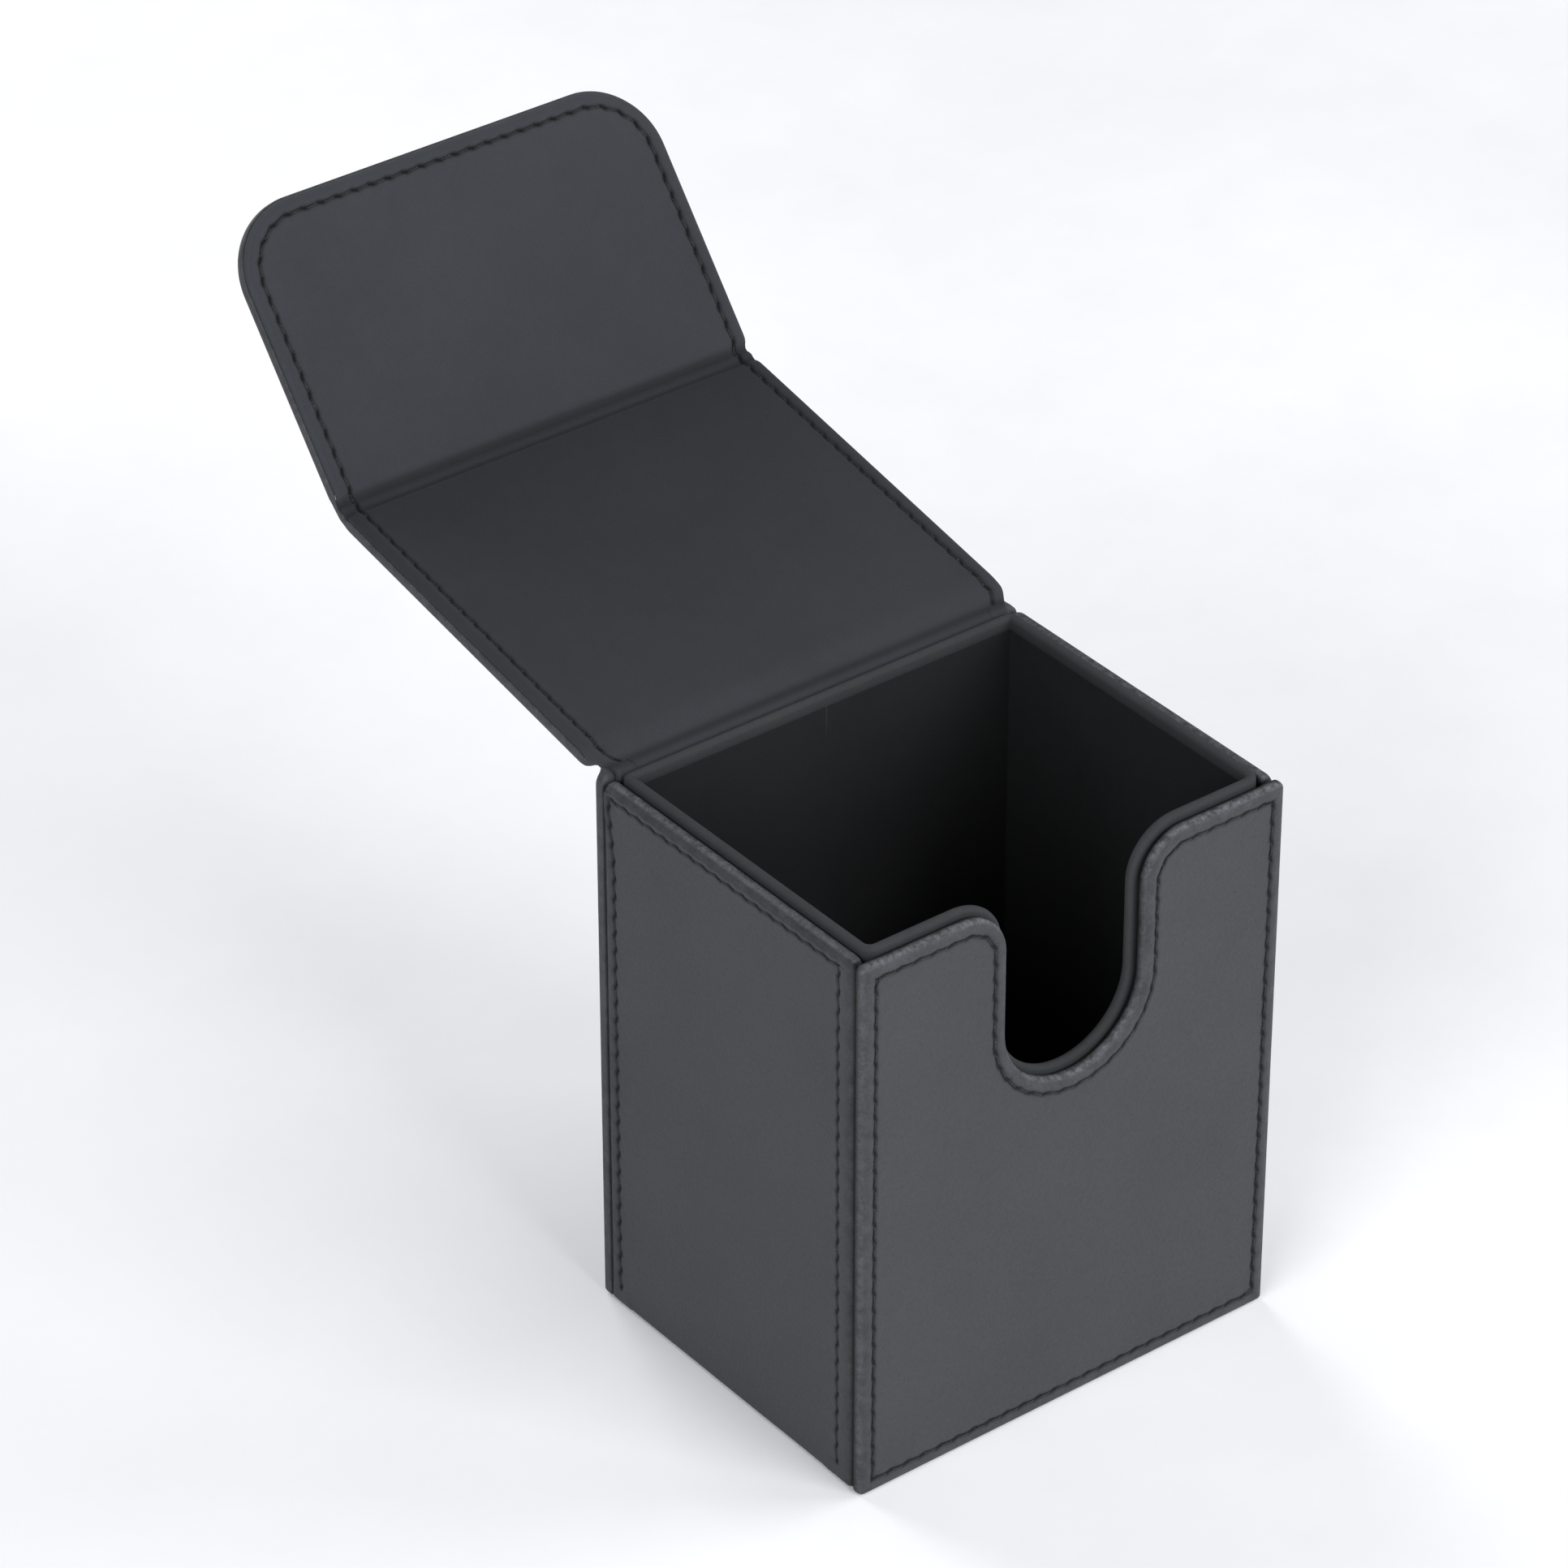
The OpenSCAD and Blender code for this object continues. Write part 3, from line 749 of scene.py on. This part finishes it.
# the tray's lining, with painted highlight along its rim and painted shade deeper in; the lined boards inside the
# tray are darkened all over as painted shade
TRAY_LINING = suede("tray_lining", (0.0275, 0.029, 0.031), 0.85, rim=1.3, deep=0.4, Specular_IOR_Level=0.12)
TRAY_BASE = suede("lined_board", (0.0275, 0.029, 0.031), 0.85, deep=0.4, carried=True,
                  Specular_IOR_Level=0.12)
THREAD = fibrous("thread", (0.01, 0.0105, 0.0115), 0.55, 4600.0, 0.6, 0.05, glints=7.0,
                 Specular_IOR_Level=0.25)
GREYBOARD = fibrous("greyboard", (0.42, 0.39, 0.34), 0.9, 2400.0, 0.12, 0.04)
MAGNET = fibrous("magnet", (0.62, 0.61, 0.58), 0.3, 1800.0, 0.05, 0.004, Metallic=1.0)
FLOOR = fibrous("floor", (0.835, 0.84, 0.855), 0.6, 60.0, 0.01, 0.01, Specular_IOR_Level=0.2)


# ---- camera ----


def look():
    """The camera at the photo's viewing angle."""
    azimuth, elevation, roll = (math.radians(a) for a in (-37.742, 33.408, -0.07))
    target, distance, lens = Vector((372.19, 518.50, -325.14)) * MM, 1805.7 * MM, 160.83
    back = Vector((math.sin(azimuth) * math.cos(elevation), -math.cos(azimuth) * math.cos(elevation),
                   math.sin(elevation)))
    right = Vector((0, 0, 1)).cross(back).normalized()
    up = back.cross(right)
    turned = right * math.cos(roll) + up * math.sin(roll)
    raised = up * math.cos(roll) - right * math.sin(roll)
    camera = bpy.data.objects.new("camera", bpy.data.cameras.new("camera"))
    bpy.context.scene.collection.objects.link(camera)
    camera.data.lens, camera.data.sensor_width = lens, 36
    camera.data.clip_start, camera.data.clip_end = 0.05, 60
    place = target + back * distance
    rows = [(turned[i], raised[i], back[i], place[i]) for i in range(3)]
    camera.matrix_world = Matrix([*rows, (0, 0, 0, 1)])
    bpy.context.scene.camera = camera


look()


# ---- the box's outside ----


def front_panel():
    """The front panel with its thumb notch: u is x from the left edge, v is z."""
    left, right = HALF_W - NOTCH_HALF, HALF_W + NOTCH_HALF
    outline = rounded([(0, 0, 1), (BOX_W, 0, 1), (BOX_W, BOX_H, 1), (right, BOX_H, SHOULDER_R),
                       (right, NOTCH_BOTTOM, NOTCH_HALF), (left, NOTCH_BOTTOM, NOTCH_HALF),
                       (left, BOX_H, SHOULDER_R), (0, BOX_H, 1)])
    section = Section([(-HALF_W, FRONT_Y), (HALF_W, FRONT_Y)],
                      [(-HALF_W, FRONT_Y + PANEL_T), (HALF_W, FRONT_Y + PANEL_T)])
    # painted shade on the back of the edge, where the panel butts against the side wrap
    return Sheet("front_panel_wrap", section, (0, 1, 2), outline, seams=1, seam_in=FRONT_SEAM_IN,
                 box=(0, BOX_W, 0, BOX_H, (1, 1, 1, 1)), edge_r=1.0, back_r=0.7, back_gap_shade=0.9, sink=0.03,
                 back_fine=False)


def side_wrap():
    """One cover down the left side, under the base and up the right side: u runs along it, v is y."""
    foot_r, corner_r = 1.0, 2.0
    line, right = rounded([(-HALF_W, BOX_H, 0), (-HALF_W, 0, foot_r), (HALF_W, 0, foot_r),
                           (HALF_W, BOX_H, 0)], closed=False, step=0.4)
    back = line - right * PANEL_T
    back[:, 0] = np.clip(back[:, 0], -HALF_W + PANEL_T, HALF_W - PANEL_T)
    back[:, 1] = np.maximum(back[:, 1], PANEL_T)
    section = Section(line, back)
    end = section.length
    # how far in the seam runs at the top, at the front, and at the rear, where it moves in lower down
    top, fore, aft, aft_more = 2.3, 3.7, 1.5, 1.1
    outline = rounded([(0, SIDE_FRONT, corner_r), (end, SIDE_FRONT, corner_r), (end, SIDE_REAR, corner_r),
                       (0, SIDE_REAR, corner_r)])
    points, right = outline
    to_end = np.minimum(points[:, 0], end - points[:, 0])
    aft = aft + aft_more * smoothstep((to_end - 2) / 14)
    seam = np.where(right[:, 1] < -0.7, fore, np.where(right[:, 1] > 0.7, aft, top))
    unsewn_foot = 3.0
    sewn = (to_end < BOX_H - unsewn_foot).astype(float)
    bends = [BOX_H + k for k in (-1.2, -0.8, -0.4, 0.0, 0.4)]
    # painted shade on the front and rear edges, where the wrap butts against the front and rear panels
    return Sheet("side_and_base_wrap", section, (0, 2, 1), outline, seams=sewn, seam_in=seam,
                 box=(0, end, SIDE_FRONT, SIDE_REAR, (1, 1, 1, 1)), edge_r=1.15, back_r=0.7,
                 jog=0.16, sink=0.16, lines_u=sorted(bends + [end - b for b in bends]),
                 gap=0.9 * (np.abs(right[:, 1]) > 0.7))


def lid_at(out, up):
    """A point of the lid's section: out from the hinge's axis, and up from it towards the outer face."""
    normal = np.array([LID_DIR[1], -LID_DIR[0]])
    return tuple(HINGE + out * LID_DIR + up * normal)


def rear_and_hinge():
    """The long cover from the foot of the rear panel up over the hinge, to a cut on the lid: v is x."""
    straight, turn = np.linspace(0, 94, 48), (REAR_Y + 0.3, 96.85)
    shown = smooth_line([(REAR_Y, z) for z in straight]
                        + [(REAR_Y, 95.6), (REAR_Y + 0.03, 96.3), turn, (REAR_Y + 0.85, 97.0),
                           (REAR_Y + 1.5, 96.75), (REAR_Y + 2.3, 96.33), lid_at(3.0, SKIN_OUT - 0.02),
                           lid_at(4.2, SKIN_OUT), lid_at(CUT_OUT, SKIN_OUT)])
    back = smooth_line([(SIDE_REAR, z) for z in straight]
                       + [(SIDE_REAR, 95.6), (SIDE_REAR + 0.15, 96.45), (31.35, 97.05), (32.4, 97.35),
                          (33.6, 97.62), (34.9, 98.1), lid_at(3.4, LAYER_Z), lid_at(4.4, LAYER_Z),
                          lid_at(CUT_OUT, LAYER_Z)])
    section = Section(shown, back)
    end = section.length
    points, right = rounded([(end, HALF_W, 0), (0, HALF_W, 1), (0, -HALF_W, 1), (end, -HALF_W, 0)],
                            closed=False)
    hinge_u = section.nearest(turn)
    unsewn_middle, unsewn_half = 0.8, 2.0
    sewn = (np.abs(points[:, 0] - hinge_u - unsewn_middle) > unsewn_half).astype(float)
    fine = list(np.arange(hinge_u - 1.6, end, 0.3))
    return Sheet("rear_wrap_and_hinge", section, (1, 2, 0), (points, right), seams=sewn, closure=[],
                 box=(0, end, -HALF_W, HALF_W, (1, 0, 1, 1)), edge_r=1.1, back_r=0.3, lines_u=fine,
                 pinch=lambda u: 1.5 / HALF_W * bell(u - hinge_u - 0.5, 1.15),
                 calm=lambda u: smoothstep((end - u) / CALM))


# ---- the lid and the flap ----

# painted light on the lining, how pale it is: at the lid's hinge end and fold end, then at the flap's fold and
# free edge
LID_PAINTED_LIGHT, FLAP_PAINTED_LIGHT = (1.0, 0.76), (1.17, 1.38)
# the fold's grooves: how far from the fold's axis, how deep and how wide, by the lid and by the flap
GROOVE_OUT, GROOVE_DEPTH, GROOVE_WIDTH = (1.0, 1.4), (0.3, 0.75), (0.75, 0.95)
FOLD_R, FOLD_SINK = 2.0, 0.12
LINING_SHAPE = {"seam_in": SEAM_IN - LINING_INSET, "edge_r": 0.42, "back_r": 0.2, "step_down": 0.08,
                "crown": 0.1, "sink": 0.06}


def long_section(shown_z, back_z, shown_dip, back_dip):
    """The lid, the fold's two grooves and the flap. Each dip says how much of the groove a face takes."""
    bends = (FOLD - LID_DIR * GROOVE_OUT[0], FOLD + FLAP_DIR * GROOVE_OUT[1])
    stop = FOLD + FLAP_DIR * FLAP_L
    corners = [(*lid_at(CUT_OUT, 0), 0), *((*bend, FOLD_R) for bend in bends), (*stop, 0)]
    line, right = rounded(corners, closed=False, step=0.2)
    u = lengths(line)
    first, second = (u[np.argmin(np.linalg.norm(line - bend, axis=1))] for bend in bends)
    groove = GROOVE_DEPTH[0] * bell(u - first, GROOVE_WIDTH[0])
    groove += GROOVE_DEPTH[1] * bell(u - second, GROOVE_WIDTH[1])
    groove += FOLD_SINK * smoothstep((u - first + 1) / 1.5) * smoothstep((second + 1 - u) / 1.5)
    shown = line + right * (shown_z + groove * shown_dip)[:, None]
    back = line + right * (back_z + groove * back_dip)[:, None]
    section = Section(shown, back)
    where = [np.interp(x, u, section.u) for x in (first, second)]
    return section, where


def long_outline(section, half, short, corner):
    """Both long sides and the flap's free edge with its round corners."""
    end = section.length - short
    return rounded([(0, -half, 0), (end, -half, corner), (end, half, corner), (0, half, 0)], closed=False)


def fold_lines(where):
    """Where the faces get extra points to bend at the fold."""
    first, second = where
    return list(np.arange(first - 2.4, second + 3.0, 0.3))


def pinch_at(where, size):
    """The sides draw in a little at the fold's grooves."""
    first, second = where
    return lambda u: size / HALF_W * (0.6 * bell(u - first, 1.0) + bell(u - second, 1.1))


def crease_shade_at(where):
    """Painted shade in the two grooves: the one by the flap is the wider and darker."""
    first, second = where
    return lambda u: 0.36 * bell(u - first, 0.45) + 0.5 * bell(u - second, 0.95)


def painted_light_of(section, where):
    """Painted light along the lid, which changes over the fold to that of the flap."""
    first, second = where

    def nap_and_painted_light(u):
        lid = np.interp(u, [0, first], LID_PAINTED_LIGHT)
        flap = np.interp(u, [second, section.length], FLAP_PAINTED_LIGHT)
        return lid + (flap - lid) * smoothstep((u - first) / (second - first))

    return nap_and_painted_light


def long_cover():
    """The cover of the lid and the flap, from its cut near the hinge: v is x."""
    section, where = long_section(SKIN_OUT, LAYER_Z, -0.3, 1.0)
    outline = long_outline(section, HALF_W, 0, FLAP_CORNER_R)
    return Sheet("lid_and_flap_wrap", section, (1, 2, 0), outline, seams=1, closure=[],
                 box=(0, section.length, -HALF_W, HALF_W, (0, 1, 1, 1)), edge_r=1.1, back_r=0.3,
                 lines_u=fold_lines(where), pinch=pinch_at(where, 0.12),
                 calm=lambda u: smoothstep(u / CALM))


def long_lining():
    """The lining of the lid and the flap, from its cut near the hinge: v is x."""
    section, where = long_section(LINING_Z, LAYER_Z, 1.0, 1.0)
    half, end = HALF_W - LINING_INSET, section.length - LINING_INSET
    outline = long_outline(section, half, LINING_INSET, FLAP_CORNER_R - LINING_INSET)
    return Sheet("lid_and_flap_lining", section, (1, 2, 0), outline, seams=1, closure=[],
                 box=(0, end, -half, half, (0, 1, 1, 1)), crease_shade=crease_shade_at(where),
                 nap_and_painted_light=painted_light_of(section, where), lines_u=fold_lines(where),
                 pinch=pinch_at(where, 0.18), calm=lambda u: smoothstep(u / CALM), **LINING_SHAPE)


def hinge_lining():
    """The lining from behind the tray's rear wall, up over the rim and down on to the lid: v is x."""
    fore, aft = TRAY_REAR + 0.25, SIDE_REAR - 0.05
    bend, low = (31.8, 97.98), 88.0
    shown = smooth_line([lid_at(CUT_OUT, LINING_Z), lid_at(4.4, LINING_Z), (35.7, 99.3), (34.7, 98.95),
                         (33.3, 98.42), bend, (30.5, 97.62), (29.7, 97.3), (fore, 96.7), (fore, 95.5),
                         (fore, 91.5), (fore, low)])
    back = smooth_line([lid_at(CUT_OUT, LAYER_Z), lid_at(4.4, LAYER_Z), (35.8, 98.5), (34.9, 98.14),
                        (33.6, 97.68), (32.4, 97.42), (31.35, 97.12), (30.45, 96.75), (aft, 96.2),
                        (aft, 95.3), (aft, 91.5), (aft, low)])
    section = Section(shown, back)
    end = section.length
    wide, narrow = HALF_W - LINING_INSET, TRAY_X - 0.1
    neck = section.nearest(bend)
    points, right = rounded([(0, -wide, 0), (end, -wide, 1), (end, wide, 1), (0, wide, 0)], closed=False)
    sewn = (points[:, 0] < neck + 0.5).astype(float)
    # painted shade in the crease by the hinge's neck, and painted light on the slope down over the hinge, which
    # faces the light more
    return Sheet("hinge_lining_strip", section, (1, 2, 0), (points, right), seams=sewn, closure=[],
                 crease_shade=lambda u: 0.5 * bell(u - neck - 0.9, 0.9),
                 nap_and_painted_light=lambda u: LID_PAINTED_LIGHT[0] + 0.18 * smoothstep(u / 4),
                 pinch=lambda u: (1 - narrow / wide) * smoothstep((u - neck + 2.5) / 5),
                 lines_u=list(np.arange(0.3, neck + 6, 0.35)), reach=0.95,
                 calm=lambda u: smoothstep(u / CALM), **LINING_SHAPE)


# ---- the tray ----


def tray_walls():
    """The tray's four walls as one lined strip with a soft rim: u runs round it, v is z."""
    front_r, rear_r = 2.6, 1.3
    line, right = rounded([(0, TRAY_REAR, 0), (-TRAY_X, TRAY_REAR, rear_r), (-TRAY_X, TRAY_FRONT, front_r),
                           (TRAY_X, TRAY_FRONT, front_r), (TRAY_X, TRAY_REAR, rear_r), (0, TRAY_REAR, 0)],
                          closed=False, step=0.4)
    back = line - right * TRAY_T
    back[:, 0] = np.clip(back[:, 0], -TRAY_X + TRAY_T, TRAY_X - TRAY_T)
    back[:, 1] = np.clip(back[:, 1], TRAY_FRONT + TRAY_T, TRAY_REAR - TRAY_T)
    section = Section(line, back)
    end, middle = section.length, section.length / 2
    half, r = NOTCH_HALF - TRAY_NOTCH_IN, SHOULDER_R + TRAY_NOTCH_IN
    base = NOTCH_BOTTOM + TRAY_NOTCH_IN
    outline = rounded([(end, RIM_Z, 0), (middle + half, RIM_Z, r), (middle + half, base, half),
                       (middle - half, base, half), (middle - half, RIM_Z, r), (0, RIM_Z, 0)], closed=False)
    turning = np.abs(np.diff(np.unwrap(np.arctan2(right[:, 1], right[:, 0])))) > 1e-3
    bends = sorted(set(section.u[:-1][turning]) | set(section.u[1:][turning]))
    floor_us = sorted(set(np.arange(0, end, 8.0)) | set(bends) | {end})
    closure = [(x, TRAY_FLOOR) for x in floor_us]
    return Sheet("tray_wall_lining", section, (0, 1, 2), outline, closure=closure, edge_r=0.85, back_r=0.85,
                 wave=0.05, lines_u=bends, grid=4.0,
                 calm=lambda u: smoothstep(np.minimum(u, end - u) / CALM))


# ---- assembly ----


def dress(obj, slot, *nodes):
    """Hides the CAD nodes that a piece stands for. slot is not used."""
    if nodes:
        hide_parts(*nodes)
    return obj


def hinge_blend(obj):
    """Bakes the piece's place into its mesh."""
    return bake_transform(obj)


def fold_blend(obj):
    """Bakes the piece's place into its mesh."""
    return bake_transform(obj)


front = front_panel()
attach(dress(front.build(LEATHER), "leatherette", "front_cover"), "box")
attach(dress(thread_mesh("front_thread", [front], THREAD), "thread", "front_stitching"), "box")

sides = side_wrap()
half_way = sides.section.length / 2
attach(dress(sides.build(SIDE_LEATHER), "leatherette", "left_cover", "right_cover", "base_cover"), "box")
for side, test in (("left", lambda s, at: at[0] < half_way), ("right", lambda s, at: at[0] > half_way)):
    thread = thread_mesh(side + "_thread", [sides], THREAD, keep=test)
    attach(dress(thread, "thread", side + "_stitching"), "box")

rear = rear_and_hinge()
hinge_blend(dress(rear.build(LID_LEATHER), "leatherette", "rear_cover", "hinge_cover"))
strip = hinge_lining()
hinge_blend(dress(strip.build(LINING), "lining", "hinge_lining", "hinge_tail"))
hinge_blend(dress(thread_mesh("rear_thread", [rear, strip], THREAD), "thread", "rear_stitching"))

cover = long_cover()
fold_blend(dress(cover.build(LID_LEATHER), "leatherette", "lid_cover", "fold_cover", "flap_cover"))
lining = long_lining()
fold_blend(dress(lining.build(LINING), "lining", "lid_lining", "fold_lining", "flap_lining"))
thread = thread_mesh("lid_and_flap_thread", [cover, lining], THREAD)
fold_blend(dress(thread, "thread", "lid_stitching", "flap_stitching"))

tray = tray_walls()
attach(dress(tray.build(TRAY_LINING), "lined_board", "tray_front_wall", "tray_left_wall",
              "tray_right_wall", "tray_rear_wall"), "box")

NODE_FINISH = {"greyboard": GREYBOARD, "magnet": MAGNET, "lined_board": TRAY_BASE,
               "leatherette": LEATHER, "lining": LINING, "thread": THREAD}
for part in frame["record"]["subparts"]:
    mesh = frame["nodes"][part["node"]].data
    mesh.materials.clear()
    mesh.materials.append(NODE_FINISH[part["material_slot"]])


# ---- floor and light, in metres ----

FLOOR_HALF = 6.0
LIGHT_AWAY, LIGHT_SIZE, AIM_HEIGHT = 1.3, 0.9, 0.08
LIGHT_COLOUR, ROOM_COLOUR, ROOM_STRENGTH = (0.985, 0.985, 1.0), (0.97, 0.98, 1.0), 0.03
# azimuth, elevation and watts. Azimuth 0 is in front of the box, 90 is to its right
LIGHTS = {"left": (-70, 25, 13.8), "front": (10, 25, 15.8), "right": (70, 25, 11.5), "rear": (180, 30, 12.2)}


def floor():
    """A wide plain floor under the box."""
    mesh = bpy.data.meshes.new("floor")
    corners = [(x * FLOOR_HALF, y * FLOOR_HALF, 0) for x, y in ((-1, -1), (1, -1), (1, 1), (-1, 1))]
    mesh.from_pydata(corners, [], [(0, 1, 2, 3)])
    obj = bpy.data.objects.new("floor", mesh)
    bpy.context.scene.collection.objects.link(obj)
    mesh.materials.append(FLOOR)


def area_light(name, azimuth, elevation, power):
    """A soft square light that faces the box."""
    data = bpy.data.lights.new(name, "AREA")
    data.shape, data.size, data.energy, data.color = "SQUARE", LIGHT_SIZE, power, LIGHT_COLOUR
    lamp = bpy.data.objects.new(name, data)
    bpy.context.scene.collection.objects.link(lamp)
    a, e = math.radians(azimuth), math.radians(elevation)
    away = Vector((math.sin(a) * math.cos(e), -math.cos(a) * math.cos(e), math.sin(e)))
    lamp.location = Vector((0, 0, AIM_HEIGHT)) + away * LIGHT_AWAY
    lamp.rotation_mode = "QUATERNION"
    lamp.rotation_quaternion = away.to_track_quat("Z", "Y")


def room():
    """Faint even light from all round."""
    world = bpy.data.worlds.new("room")
    world.use_nodes = True
    shader = world.node_tree.nodes["Background"]
    shader.inputs["Color"].default_value = (*ROOM_COLOUR, 1)
    shader.inputs["Strength"].default_value = ROOM_STRENGTH
    bpy.context.scene.world = world


floor()
room()
for name, setting in LIGHTS.items():
    area_light(name + "_light", *setting)
bpy.context.scene.view_settings.view_transform = "Standard"
bpy.context.scene.view_settings.look = "None"
